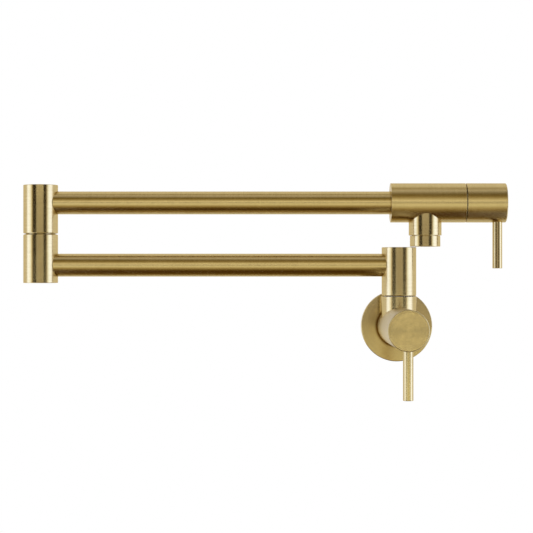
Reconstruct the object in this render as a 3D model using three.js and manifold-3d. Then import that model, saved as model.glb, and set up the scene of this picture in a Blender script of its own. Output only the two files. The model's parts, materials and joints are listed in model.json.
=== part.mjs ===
// A wall mounted pot filler with two swivel joints and two quarter-turn valves.
// Millimetres, +Z up. The origin lies on the wall plane, on the axis of the inlet.
// +X runs to the right along the wall and -Y points out of the wall, towards the user.
// It is shown folded and closed: both levers hang down and the two arms lie over each other.

import * as THREE from 'three';
import { mergeVertices } from 'three/addons/utils/BufferGeometryUtils.js';
import Module from 'manifold-3d';

// Where the main axes lie.
const ARM_FROM_WALL = 30; // swivel axes and both tubes, in front of the wall
const LOWER_AXIS_Z = 51.25; // lower tube above the inlet axis
const ELBOW_X = -297.6; // elbow column
const SPOUT_LEFT_X = -7.1; // left end of the spout valve
const OUTLET_X = 21.75; // outlet and aerator

// Escutcheon and the pieces behind it.
const ESCUTCHEON = { radius: 30, depth: 8, plate: 2.5, rim: 3.6, hole: 11.2, bevel: 0.7 };
const GASKET = { inner: 12, depth: 5.2 };
const NIPPLE = { radius: 10.45, tip: 9.3, behind: 22, thread: 19, inside: 20, hexAcrossFlats: 12 };
const NIPPLE_O_RING = { ring: 8.6, wire: 0.95, fromWall: 21.2 };

// The two swivel joints. Heights are counted up from the turning sleeve's joint face.
const SLEEVE = { radius: 14.35, height: 40.3, tubeHeight: 25.5, bore: 9, seatBore: 9.3, hollow: 11.6 };
const SLEEVE_LEDGE = 17.15; // top of the narrow bore, which the retaining clip stands on
const SLEEVE_JOINT_BEVEL = 0.8;
const SLEEVE_END_BEVEL = 0.4;
const CAP = { radius: 11.4, thick: 3.6, bevel: 0.3 };
const SPINDLE = { thread: 9, journal: 8.7, bore: 5.6, top: 20.75, groove: 7.3, clipGroove: 7.9 };
const SWIVEL_O_RING = { ring: 8.1, wire: 0.7, heights: [ 6.35, 11.85 ] };
const SWIVEL_CLIP = { inner: 8.15, outer: 10.8, bottom: 17.6, thick: 0.8 };
const SHOULDER_GAP = 0.5; // between the neck and the shoulder sleeve
const ELBOW_GAP = 0.7; // between the two elbow sleeves
const SLIP_WASHER = { inner: 9.3, outer: 12.4, thick: 0.9 };
const SPACER_RING = { inner: 9.3, outer: 12.35, thick: 0.5 };
const SHOULDER_THREAD_LENGTH = 11.3;
const ELBOW_THREAD_LENGTH = 16;

// Tubes.
const TUBE = { radius: 9.5, wall: 1.3 };
const TUBE_SOCKET = 9.7; // radius of the hole that a tube end sits in
const TUBE_PORT = 7.6; // radius of the water way past the tube end
const SOCKET_FLOOR = 10.5; // from a sleeve's axis to where the tube socket ends

// Valve bodies. Lengths run along the valve's axis, from its rear end to its open end.
const VALVE_RADIUS = 16.3;
const WALL_VALVE = { rear: 8.3, end: 90.2 };
const SPOUT_VALVE = { socket: 14, end: 61.9 };
const VALVE_BEVEL = 0.4;
const PASSAGE = 4.2; // water way up to the cartridge's seat
const CHAMBER = 9.7; // round the lower half of the cartridge
const NUT_BORE = 10.75;
const NECK_RADIUS = 14.5;
const NECK_BORE_FLOOR = 13; // above the valve's axis
const DRILLING_RADIUS = 3.3; // slanting water way from the cartridge to the neck
// The outlet collar. Its lengths run down from the spout valve's axis.
const COLLAR = { radius: 13.6, length: 27.05, threadBore: 11.1, threadDepth: 6.35 };
const OUTLET_WAY = { radius: 7, top: 8.5 };
const COLLAR_GAP = 0.3; // fine gap between the collar and the aerator

// The quarter-turn cartridge and the handle. Heights are counted from the cartridge's seat.
const VALVE_END = 38.2; // open end of the valve body
const FLANGE_STEP = 23.8; // step in the valve body that the cartridge's flange sits on
const SEAT_SEAL = { inner: 4.9, outer: 7.3, bottom: 0.15, top: 2.2 };
const FIXED_DISC = { radius: 7.4, bottom: 2.3, top: 5.2 };
const MOVING_DISC = { radius: 7.3, bottom: 5.3, top: 8 };
const DISC_WINDOW = { inner: 2.2, outer: 6, halfAngle: 35 };
const CASE_WINDOW = { halfWidth: 3.5, bottom: 8.6, top: 14.4 };
const CARTRIDGE = { bore: 7.6, radius: 8.7, flange: 10.4, boss: 8, stemBore: 4.85, bottom: 1, top: 48 };
const CARTRIDGE_BENCH = 18.2; // the inner shoulder that the stem's flange turns under
const BODY_O_RING = { ring: 8.5, wire: 0.95, height: 21 };
const STEM = { flange: 7.2, flangeBottom: 15, flangeTop: 18, shaft: 4.6, top: 62 };
const STEM_GROOVES = { seal: 3.6, clip: 3.85 };
const SPLINE = { teeth: 12, outer: 3.9, inner: 3.5, bottom: 50.2 };
const PRONG = { near: 3.6, far: 6, halfWidth: 1.6, bottom: 7 };
const STEM_O_RING = { ring: 4.2, wire: 0.5, height: 34 };
const STEM_CLIP = { inner: 4.05, outer: 6.2, bottom: 48.4, thick: 0.8 };
const NUT = { barrel: 10.5, bore: 8.3, bottom: 27.2, hexCorner: 13.2, headBottom: 38.4, headTop: 45.4 };
const HUB = { gap: 0.8, length: 33, wallInner: 13.9, block: 19.6, stemBore: 4.15, frontBevel: 0.7 };
const LEVER = { radius: 4.05, stud: 2.9, reach: 54.4, rodStart: 15.2, studStart: 6, fromFront: 6.9 };
const SET_SCREW = { radius: 2, hole: 2.3, inner: 4.1, outer: 12.5, height: 57, socketFlats: 2 };

// Aerator, counted up from its lower face.
const AERATOR = { radius: 12.6, band: 8.95, mouth: 8.6, lip: 2.2, thread: 10.8, bore: 9.6, top: 14.4 };
const INSERT = { radius: 9.35, bottom: 2.4, top: 13, holeRadius: 1.45, pitch: 3.4 };
const SCREEN = { radius: 9.3, bottom: 13.2, top: 13.6, hole: 2.2, pitch: 2.9 };
const AERATOR_WASHER = { inner: 7.2, outer: 10.4, bottom: 14.5, top: 15.5 };

// How many flats stand in for a circle: on outer pieces, on the escutcheon, on inner pieces
// and on a seal's section.
const ROUND = 32;
const WIDE = 40;
const INNER = 16;
const RING_SECTION = 5;
const ARC_STEPS = 8; // half the steps along a clip's arc
const WINDOW_STEPS = 3; // half the steps along a disc window's arc

// Heights that follow from the sizes above.
const SHOULDER_Z = LOWER_AXIS_Z - SLEEVE.tubeHeight; // shoulder sleeve's joint face
const NECK_TOP = SHOULDER_Z - SHOULDER_GAP;
const ELBOW_LOWER_Z = LOWER_AXIS_Z + SLEEVE.tubeHeight; // lower elbow sleeve's joint face
const ELBOW_UPPER_Z = ELBOW_LOWER_Z + ELBOW_GAP;
const UPPER_AXIS_Z = ELBOW_UPPER_Z + SLEEVE.tubeHeight;
const COLLAR_BOTTOM_Z = UPPER_AXIS_Z - COLLAR.length;
const AERATOR_Z = COLLAR_BOTTOM_Z - AERATOR.band - COLLAR_GAP;
const HUB_REAR = VALVE_END + HUB.gap;
const HUB_FRONT = HUB_REAR + HUB.length;

const FINISHES = {
  brass: { color: 0xc3ae7c, roughness: 0.34, metalness: 1 },
  rawBrass: { color: 0xb5a05c, roughness: 0.45, metalness: 1 },
  steel: { color: 0xb9babd, roughness: 0.35, metalness: 1 },
  ceramic: { color: 0xe6e3dc, roughness: 0.25, metalness: 0 },
  rubber: { color: 0x1c1c1d, roughness: 0.8, metalness: 0 },
  foam: { color: 0x2c2d2f, roughness: 0.95, metalness: 0 },
  nylon: { color: 0xe4e2da, roughness: 0.5, metalness: 0 },
  plastic: { color: 0xd8dadb, roughness: 0.4, metalness: 0 },
};

const wasm = await Module();
wasm.setup();

// Closed geometry as a solid that can be cut and joined. Triangles that a pole shrinks to nothing
// are left out.
function solid( geometry ) {
  const bare = geometry.clone();
  bare.deleteAttribute( 'normal' );
  bare.deleteAttribute( 'uv' );
  const merged = mergeVertices( bare, 1e-4 );
  const all = merged.index.array;
  const kept = [];
  for ( let i = 0; i < all.length; i += 3 ) {
    const [ a, b, c ] = [ all[ i ], all[ i + 1 ], all[ i + 2 ] ];
    if ( a !== b && b !== c && c !== a ) kept.push( a, b, c );
  }
  return new wasm.Manifold( new wasm.Mesh( {
    numProp: 3,
    vertProperties: new Float32Array( merged.attributes.position.array ),
    triVerts: new Uint32Array( kept ),
  } ) );
}

// The solid's surface as geometry again.
function surface( body ) {
  const mesh = body.getMesh();
  const positions = new Float32Array( mesh.vertProperties );
  const geometry = new THREE.BufferGeometry();
  geometry.setAttribute( 'position', new THREE.BufferAttribute( positions, 3 ) );
  geometry.setIndex( new THREE.BufferAttribute( new Uint32Array( mesh.triVerts ), 1 ) );
  geometry.computeVertexNormals();
  return geometry;
}

// A turned piece about +Z. The profile lists [ radius, height ], outwards along the bottom
// and back along the top.
function turned( profile, sides = ROUND ) {
  const points = profile.map( ( [ radius, height ] ) => new THREE.Vector2( radius, height ) );
  return new THREE.LatheGeometry( points, sides ).rotateX( Math.PI / 2 );
}

// A turned piece with a hole along its axis: its profile closes on itself.
function turnedRing( profile, sides = ROUND ) {
  return turned( [ ...profile, profile[ 0 ] ], sides );
}

function ring( inner, outer, bottom, top, sides = ROUND ) {
  return turnedRing( [ [ inner, bottom ], [ outer, bottom ], [ outer, top ], [ inner, top ] ], sides );
}

function rod( radius, bottom, top, sides = ROUND ) {
  return turned( [ [ 0, bottom ], [ radius, bottom ], [ radius, top ], [ 0, top ] ], sides );
}

function box( x0, x1, y0, y1, z0, z1 ) {
  const geometry = new THREE.BoxGeometry( x1 - x0, y1 - y0, z1 - z0 );
  return geometry.translate( ( x0 + x1 ) / 2, ( y0 + y1 ) / 2, ( z0 + z1 ) / 2 );
}

function prism( shape, bottom, top, curveSegments = ARC_STEPS ) {
  const depth = top - bottom;
  const geometry = new THREE.ExtrudeGeometry( shape, { depth, bevelEnabled: false, curveSegments } );
  return geometry.translate( 0, 0, bottom );
}

// A hexagonal prism about +Z with its corners on the given radius.
function hexagon( radius, bottom, top ) {
  return rod( radius, bottom, top, 6 );
}

function oRing( ringRadius, wireRadius, height ) {
  return new THREE.TorusGeometry( ringRadius, wireRadius, RING_SECTION, INNER ).translate( 0, 0, height );
}

// An open retaining clip: a flat ring with a gap of 60 degrees.
function openClip( inner, outer, bottom, top ) {
  const start = Math.PI / 6;
  const end = 2 * Math.PI - Math.PI / 6;
  const shape = new THREE.Shape();
  shape.absarc( 0, 0, outer, start, end, false );
  shape.absarc( 0, 0, inner, end, start, true );
  shape.closePath();
  return prism( shape, bottom, top, ARC_STEPS );
}

// Turns geometry made about +Z so that it runs along another direction.
function along( geometry, direction ) {
  const turn = new THREE.Quaternion().setFromUnitVectors( new THREE.Vector3( 0, 0, 1 ), direction );
  return geometry.applyQuaternion( turn );
}

const RIGHT = new THREE.Vector3( 1, 0, 0 );
const LEFT = new THREE.Vector3( - 1, 0, 0 );
const LOCAL_UP = new THREE.Vector3( 0, 1, 0 );
const LOCAL_DOWN = new THREE.Vector3( 0, - 1, 0 );

function add( group, name, geometry, finish ) {
  const mesh = new THREE.Mesh( geometry, new THREE.MeshStandardMaterial( FINISHES[ finish ] ) );
  mesh.name = name;
  group.add( mesh );
}

// A group whose own X, Y and Z axes point along the given directions of the whole object.
function frame( parent, x, y, z, position ) {
  const group = new THREE.Group();
  group.quaternion.setFromRotationMatrix( new THREE.Matrix4().makeBasis( x, y, z ) );
  group.position.copy( position );
  parent.add( group );
  return group;
}

function raised( parent, x, y, z ) {
  const group = new THREE.Group();
  group.position.set( x, y, z );
  parent.add( group );
  return group;
}

// ---- Swivel joints -------------------------------------------------------------------------

// A sleeve stands on its joint face at height 0 and is bored from its far end, which a cap closes.
function sleeve( bore, tubeSide ) {
  const { radius, height, hollow, tubeHeight } = SLEEVE;
  const shell = solid( turnedRing( [
    [ bore, 0 ],
    [ radius - SLEEVE_JOINT_BEVEL, 0 ],
    [ radius, SLEEVE_JOINT_BEVEL ],
    [ radius, height - SLEEVE_END_BEVEL ],
    [ radius - SLEEVE_END_BEVEL, height ],
    [ hollow, height ],
    [ hollow, SLEEVE_LEDGE ],
    [ bore, SLEEVE_LEDGE ],
  ] ) );
  const socket = along( rod( TUBE_SOCKET, SOCKET_FLOOR, radius + 2 ), tubeSide );
  const port = along( rod( TUBE_PORT, 0, radius ), tubeSide );
  socket.translate( 0, 0, tubeHeight );
  port.translate( 0, 0, tubeHeight );
  return surface( shell.subtract( solid( socket ) ).subtract( solid( port ) ) );
}

function sleeveCap() {
  const { height } = SLEEVE;
  const { radius, thick, bevel } = CAP;
  return turned( [
    [ 0, height - thick ],
    [ radius, height - thick ],
    [ radius, height - bevel ],
    [ radius - bevel, height ],
    [ 0, height ],
  ] );
}

// The hollow post that a sleeve turns on. It has a groove for each seal and one for the clip.
function spindle( gap, threadLength ) {
  const { thread, journal, bore, top, groove, clipGroove } = SPINDLE;
  const bottom = - gap - threadLength;
  const halfGroove = SWIVEL_O_RING.wire + 0.2;
  const clipBottom = SWIVEL_CLIP.bottom - 0.1;
  const clipTop = SWIVEL_CLIP.bottom + SWIVEL_CLIP.thick + 0.1;
  const sealGrooves = SWIVEL_O_RING.heights.flatMap( ( height ) => [
    [ journal, height - halfGroove ],
    [ groove, height - halfGroove ],
    [ groove, height + halfGroove ],
    [ journal, height + halfGroove ],
  ] );
  return turnedRing( [
    [ bore, bottom ],
    [ thread - 0.6, bottom ],
    [ thread, bottom + 0.6 ],
    [ thread, - gap - 0.4 ],
    [ journal, - gap - 0.1 ],
    ...sealGrooves,
    [ journal, clipBottom ],
    [ clipGroove, clipBottom ],
    [ clipGroove, clipTop ],
    [ journal, clipTop ],
    [ journal, top - 0.5 ],
    [ journal - 0.5, top ],
    [ bore, top ],
  ], INNER );
}

// The spindle, its two seals and its clip, in a frame that stands on the turning sleeve's joint face.
function addSwivel( group, name, gap, threadLength ) {
  const { ring: ringRadius, wire, heights } = SWIVEL_O_RING;
  const { inner, outer, bottom, thick } = SWIVEL_CLIP;
  add( group, `${name}_spindle`, spindle( gap, threadLength ), 'rawBrass' );
  add( group, `${name}_o_ring_lower`, oRing( ringRadius, wire, heights[ 0 ] ), 'rubber' );
  add( group, `${name}_o_ring_upper`, oRing( ringRadius, wire, heights[ 1 ] ), 'rubber' );
  add( group, `${name}_clip`, openClip( inner, outer, bottom, bottom + thick ), 'steel' );
}

function addShoulder( parent ) {
  const shoulder = raised( parent, 0, - ARM_FROM_WALL, SHOULDER_Z );
  const { inner, outer, thick } = SLIP_WASHER;
  addSwivel( shoulder, 'shoulder', SHOULDER_GAP, SHOULDER_THREAD_LENGTH );
  add( shoulder, 'shoulder_slip_washer', ring( inner, outer, - 0.1 - thick, - 0.1, INNER ), 'nylon' );
  add( shoulder, 'shoulder_sleeve', sleeve( SLEEVE.bore, LEFT ), 'brass' );
  add( shoulder, 'shoulder_cap', sleeveCap(), 'brass' );
}

function addElbow( parent ) {
  const upper = raised( parent, ELBOW_X, - ARM_FROM_WALL, ELBOW_UPPER_Z );
  const { inner, outer, thick } = SPACER_RING;
  addSwivel( upper, 'elbow', ELBOW_GAP, ELBOW_THREAD_LENGTH );
  add( upper, 'elbow_spacer_ring', ring( inner, outer, - 0.1 - thick, - 0.1, INNER ), 'brass' );
  add( upper, 'elbow_upper_sleeve', sleeve( SLEEVE.bore, RIGHT ), 'brass' );
  add( upper, 'elbow_top_cap', sleeveCap(), 'brass' );

  // The lower sleeve is the same piece upside down, with a threaded bore for the spindle.
  const lower = raised( parent, ELBOW_X, - ARM_FROM_WALL, ELBOW_LOWER_Z );
  lower.rotation.x = Math.PI;
  add( lower, 'elbow_lower_sleeve', sleeve( SLEEVE.seatBore, RIGHT ), 'brass' );
  add( lower, 'elbow_bottom_cap', sleeveCap(), 'brass' );
}

// ---- Arms ----------------------------------------------------------------------------------

// A straight tube along +X between two stations.
function tube( left, right ) {
  return along( ring( TUBE.radius - TUBE.wall, TUBE.radius, left, right ), RIGHT );
}

function addArms( parent ) {
  const left = ELBOW_X + SOCKET_FLOOR + 0.3;
  const lower = raised( parent, 0, - ARM_FROM_WALL, LOWER_AXIS_Z );
  const upper = raised( parent, 0, - ARM_FROM_WALL, UPPER_AXIS_Z );
  add( lower, 'lower_arm_tube', tube( left, - SOCKET_FLOOR - 0.3 ), 'brass' );
  add( upper, 'upper_arm_tube', tube( left, SPOUT_LEFT_X + SPOUT_VALVE.socket - 0.3 ), 'brass' );
}

// ---- Cartridge and handle, in a frame that stands on the cartridge's seat --------------------

// A ceramic disc with two opposite windows, centred on the angle given in degrees.
function ceramicDisc( { radius, bottom, top }, windowAngle ) {
  const { inner, outer, halfAngle } = DISC_WINDOW;
  let disc = solid( rod( radius, bottom, top, INNER ) );
  for ( const centre of [ windowAngle, windowAngle + 180 ] ) {
    const start = THREE.MathUtils.degToRad( centre - halfAngle );
    const end = THREE.MathUtils.degToRad( centre + halfAngle );
    const sector = new THREE.Shape();
    sector.absarc( 0, 0, outer, start, end, false );
    sector.absarc( 0, 0, inner, end, start, true );
    sector.closePath();
    disc = disc.subtract( solid( prism( sector, bottom - 1, top + 1, WINDOW_STEPS ) ) );
  }
  return disc;
}

// The moving disc also has two blind pockets, which the stem's prongs drive.
function movingDisc() {
  const { near, far, halfWidth, bottom } = PRONG;
  const floor = bottom - 0.2;
  const width = halfWidth + 0.2;
  let disc = ceramicDisc( MOVING_DISC, 90 );
  for ( const side of [ - 1, 1 ] ) {
    const [ x0, x1 ] = [ side * ( near - 0.2 ), side * ( far + 0.2 ) ].sort( ( a, b ) => a - b );
    disc = disc.subtract( solid( box( x0, x1, - width, width, floor, MOVING_DISC.top + 1 ) ) );
  }
  return surface( disc );
}

// The cartridge's case, with two side windows that let the water out.
function cartridgeBody() {
  const { bore, radius, flange, boss, stemBore, bottom, top } = CARTRIDGE;
  const { halfWidth } = CASE_WINDOW;
  const grooveHalf = BODY_O_RING.wire + 0.15;
  const grooveFloor = BODY_O_RING.ring - BODY_O_RING.wire - 0.15;
  const flangeBottom = FLANGE_STEP + 0.2;
  const flangeTop = NUT.bottom - 0.2;
  const shell = solid( turnedRing( [
    [ bore, bottom ],
    [ radius - 0.3, bottom ],
    [ radius, bottom + 0.3 ],
    [ radius, BODY_O_RING.height - grooveHalf ],
    [ grooveFloor, BODY_O_RING.height - grooveHalf ],
    [ grooveFloor, BODY_O_RING.height + grooveHalf ],
    [ radius, BODY_O_RING.height + grooveHalf ],
    [ radius, flangeBottom ],
    [ flange, flangeBottom ],
    [ flange, flangeTop ],
    [ boss, flangeTop ],
    [ boss, top ],
    [ stemBore, top ],
    [ stemBore, CARTRIDGE_BENCH ],
    [ bore, CARTRIDGE_BENCH ],
  ], INNER ) );
  const windows = box( - halfWidth, halfWidth, - 12, 12, CASE_WINDOW.bottom, CASE_WINDOW.top );
  return surface( shell.subtract( solid( windows ) ) );
}

// The stem: two prongs, a thrust flange, a shaft with two grooves and a splined top.
function stem() {
  const { flange, flangeBottom, flangeTop, shaft, top } = STEM;
  const { seal, clip } = STEM_GROOVES;
  const sealHalf = STEM_O_RING.wire + 0.1;
  let body = solid( turned( [
    [ 0, flangeBottom ],
    [ flange, flangeBottom ],
    [ flange, flangeTop ],
    [ shaft, flangeTop ],
    [ shaft, STEM_O_RING.height - sealHalf ],
    [ seal, STEM_O_RING.height - sealHalf ],
    [ seal, STEM_O_RING.height + sealHalf ],
    [ shaft, STEM_O_RING.height + sealHalf ],
    [ shaft, STEM_CLIP.bottom - 0.1 ],
    [ clip, STEM_CLIP.bottom - 0.1 ],
    [ clip, STEM_CLIP.bottom + STEM_CLIP.thick + 0.1 ],
    [ shaft, STEM_CLIP.bottom + STEM_CLIP.thick + 0.1 ],
    [ shaft, SPLINE.bottom ],
    [ 0, SPLINE.bottom ],
  ], INNER ) );
  for ( const side of [ - 1, 1 ] ) {
    const [ x0, x1 ] = [ side * PRONG.near, side * PRONG.far ].sort( ( a, b ) => a - b );
    const prong = box( x0, x1, - PRONG.halfWidth, PRONG.halfWidth, PRONG.bottom, flangeBottom + 0.5 );
    body = body.add( solid( prong ) );
  }
  return surface( body.add( solid( prism( splineShape(), SPLINE.bottom - 0.5, top ) ) ) );
}

// A star outline: one point on each tooth and one in each gap.
function splineShape() {
  const { teeth, outer, inner } = SPLINE;
  const points = Array.from( { length: 2 * teeth }, ( _, i ) => {
    const angle = Math.PI * i / teeth;
    const radius = i % 2 ? inner : outer;
    return new THREE.Vector2( radius * Math.cos( angle ), radius * Math.sin( angle ) );
  } );
  return new THREE.Shape( points );
}

// A threaded barrel under a hexagonal head, with a hole for the cartridge's boss.
function retainingNut() {
  const { barrel, bore, bottom, hexCorner, headBottom, headTop } = NUT;
  const screw = solid( rod( barrel, bottom, headBottom + 0.5, INNER ) );
  const head = solid( hexagon( hexCorner, headBottom, headTop ) );
  return surface( screw.add( head ).subtract( solid( rod( bore, bottom - 1, headTop + 1, INNER ) ) ) );
}

// The hub is a cup over the nut. Its solid front holds the stem, the lever's stud and the set screw.
function handleHub() {
  const { wallInner, block, stemBore, frontBevel } = HUB;
  const blockRear = HUB_FRONT - block;
  const leverHeight = HUB_FRONT - LEVER.fromFront;
  const cup = solid( turned( [
    [ 0, STEM.top + 0.4 ],
    [ stemBore, STEM.top + 0.4 ],
    [ stemBore, blockRear ],
    [ wallInner, blockRear ],
    [ wallInner, HUB_REAR ],
    [ VALVE_RADIUS - VALVE_BEVEL, HUB_REAR ],
    [ VALVE_RADIUS, HUB_REAR + VALVE_BEVEL ],
    [ VALVE_RADIUS, HUB_FRONT - frontBevel ],
    [ VALVE_RADIUS - frontBevel, HUB_FRONT ],
    [ 0, HUB_FRONT ],
  ] ) );
  const pocket = along( rod( LEVER.radius + 0.25, LEVER.rodStart - 0.3, 20, INNER ), LOCAL_DOWN );
  const studHole = along( rod( LEVER.stud + 0.25, LEVER.studStart - 0.4, 18, INNER ), LOCAL_DOWN );
  const screwHole = along( rod( SET_SCREW.hole, 3, 20, INNER ), RIGHT );
  const cuts = solid( pocket.translate( 0, 0, leverHeight ) )
    .add( solid( studHole.translate( 0, 0, leverHeight ) ) )
    .add( solid( screwHole.translate( 0, 0, SET_SCREW.height ) ) );
  return surface( cup.subtract( cuts ) );
}

// The lever is a plain rod with a thinner stud that screws into the hub.
function lever() {
  const { radius, stud, reach, rodStart, studStart, fromFront } = LEVER;
  const bevel = 0.35;
  const geometry = turned( [
    [ 0, studStart ],
    [ stud, studStart ],
    [ stud, rodStart ],
    [ radius, rodStart ],
    [ radius, reach - bevel ],
    [ radius - bevel, reach ],
    [ 0, reach ],
  ], INNER );
  return along( geometry, LOCAL_DOWN ).translate( 0, 0, HUB_FRONT - fromFront );
}

function setScrew() {
  const { radius, inner, outer, height, socketFlats } = SET_SCREW;
  const screw = solid( rod( radius, inner, outer, INNER ) );
  const socket = solid( hexagon( socketFlats / Math.sqrt( 3 ), outer - 2.2, outer + 1 ) );
  return along( surface( screw.subtract( socket ) ), RIGHT ).translate( 0, 0, height );
}

// Everything that stands on the seat of one valve body: the cartridge, its nut and the handle.
function addCartridgeAndHandle( valve, name, seat ) {
  const head = raised( valve, 0, 0, seat );
  const seal = ring( SEAT_SEAL.inner, SEAT_SEAL.outer, SEAT_SEAL.bottom, SEAT_SEAL.top, INNER );
  const { inner, outer, bottom, thick } = STEM_CLIP;
  const clip = openClip( inner, outer, bottom, bottom + thick );
  const bodySeal = oRing( BODY_O_RING.ring, BODY_O_RING.wire, BODY_O_RING.height );
  const stemSeal = oRing( STEM_O_RING.ring, STEM_O_RING.wire, STEM_O_RING.height );
  add( head, `${name}_seat_seal`, seal, 'rubber' );
  add( head, `${name}_fixed_disc`, surface( ceramicDisc( FIXED_DISC, 0 ) ), 'ceramic' );
  add( head, `${name}_moving_disc`, movingDisc(), 'ceramic' );
  add( head, `${name}_cartridge_body`, cartridgeBody(), 'rawBrass' );
  add( head, `${name}_body_o_ring`, bodySeal, 'rubber' );
  add( head, `${name}_stem`, stem(), 'rawBrass' );
  add( head, `${name}_stem_o_ring`, stemSeal, 'rubber' );
  add( head, `${name}_stem_clip`, clip, 'steel' );
  add( head, `${name}_retaining_nut`, retainingNut(), 'rawBrass' );
  add( head, `${name}_handle_hub`, handleHub(), 'brass' );
  add( head, `${name}_handle_lever`, lever(), 'brass' );
  add( head, `${name}_handle_set_screw`, setScrew(), 'steel' );
}

// ---- Wall valve, in a frame whose Z axis points out of the wall and whose Y axis points up -----

function escutcheon() {
  const { radius, depth, plate, rim, hole, bevel } = ESCUTCHEON;
  return turnedRing( [
    [ radius - rim, 0 ],
    [ radius - 0.3, 0 ],
    [ radius, 0.3 ],
    [ radius, depth - bevel ],
    [ radius - bevel, depth ],
    [ hole, depth ],
    [ hole, depth - plate ],
    [ radius - rim, depth - plate ],
  ], WIDE );
}

// A pipe nipple with a tapered outer end and a hexagonal bore for a key.
function inletNipple() {
  const { radius, tip, behind, thread, inside, hexAcrossFlats } = NIPPLE;
  const body = solid( turned( [
    [ 0, - behind ],
    [ tip, - behind ],
    [ tip + 0.6, - behind + 0.8 ],
    [ radius, - behind + thread ],
    [ radius, inside ],
    [ 0, inside ],
  ], INNER ) );
  const bore = hexagon( hexAcrossFlats / Math.sqrt( 3 ), - behind - 1, inside + 1 );
  return surface( body.subtract( solid( bore ) ) );
}

// The valve body with its neck. A slanting drilling leads the water from the cartridge up into the neck.
function wallValveBody() {
  const { rear, end } = WALL_VALVE;
  const nippleFloor = NIPPLE_O_RING.fromWall + 1.2;
  const seat = end - VALVE_END;
  const outside = solid( turned( [
    [ 0, rear ],
    [ VALVE_RADIUS - VALVE_BEVEL, rear ],
    [ VALVE_RADIUS, rear + VALVE_BEVEL ],
    [ VALVE_RADIUS, end - VALVE_BEVEL ],
    [ VALVE_RADIUS - VALVE_BEVEL, end ],
    [ 0, end ],
  ] ) );
  const neckOutside = turned( [
    [ 0, 4 ],
    [ NECK_RADIUS, 4 ],
    [ NECK_RADIUS, NECK_TOP - 0.4 ],
    [ NECK_RADIUS - 0.4, NECK_TOP ],
    [ 0, NECK_TOP ],
  ] );
  const bores = solid( turned( [
    [ 0, rear - 1 ],
    [ NIPPLE.radius + 0.25, rear - 1 ],
    [ NIPPLE.radius + 0.25, nippleFloor ],
    [ PASSAGE, nippleFloor ],
    [ PASSAGE, seat ],
    [ CHAMBER, seat ],
    [ CHAMBER, seat + FLANGE_STEP ],
    [ NUT_BORE, seat + FLANGE_STEP ],
    [ NUT_BORE, end + 1 ],
    [ 0, end + 1 ],
  ] ) );
  const washerFloor = NECK_TOP - ( SLIP_WASHER.thick + 0.2 - SHOULDER_GAP );
  const neckBore = turned( [
    [ 0, NECK_BORE_FLOOR ],
    [ SLEEVE.seatBore, NECK_BORE_FLOOR ],
    [ SLEEVE.seatBore, washerFloor ],
    [ SLIP_WASHER.outer + 0.2, washerFloor ],
    [ SLIP_WASHER.outer + 0.2, NECK_TOP + 1 ],
    [ 0, NECK_TOP + 1 ],
  ] );
  const drillStart = new THREE.Vector3( 0, 16, ARM_FROM_WALL + 6 );
  const drillEnd = new THREE.Vector3( 0, 5, seat + 10 );
  const drillWay = drillEnd.clone().sub( drillStart );
  const drilling = along( rod( DRILLING_RADIUS, 0, drillWay.length(), INNER ), drillWay.clone().normalize() );
  drilling.translate( drillStart.x, drillStart.y, drillStart.z );
  return surface( outside
    .add( solid( along( neckOutside, LOCAL_UP ).translate( 0, 0, ARM_FROM_WALL ) ) )
    .subtract( bores )
    .subtract( solid( along( neckBore, LOCAL_UP ).translate( 0, 0, ARM_FROM_WALL ) ) )
    .subtract( solid( drilling ) ) );
}

function addWallValve( parent ) {
  const towardsUser = new THREE.Vector3( 0, - 1, 0 );
  const up = new THREE.Vector3( 0, 0, 1 );
  const valve = frame( parent, RIGHT, up, towardsUser, new THREE.Vector3() );
  const gasketOuter = ESCUTCHEON.radius - ESCUTCHEON.rim - 0.3;
  const nippleSeal = oRing( NIPPLE_O_RING.ring, NIPPLE_O_RING.wire, NIPPLE_O_RING.fromWall );
  add( valve, 'escutcheon', escutcheon(), 'brass' );
  add( valve, 'escutcheon_gasket', ring( GASKET.inner, gasketOuter, 0, GASKET.depth, INNER ), 'foam' );
  add( valve, 'inlet_nipple', inletNipple(), 'rawBrass' );
  add( valve, 'nipple_o_ring', nippleSeal, 'rubber' );
  add( valve, 'wall_valve_body', wallValveBody(), 'brass' );
  addCartridgeAndHandle( valve, 'wall', WALL_VALVE.end - VALVE_END );
}

// ---- Spout valve, in a frame whose Z axis runs to the right and whose Y axis points up ---------

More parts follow.
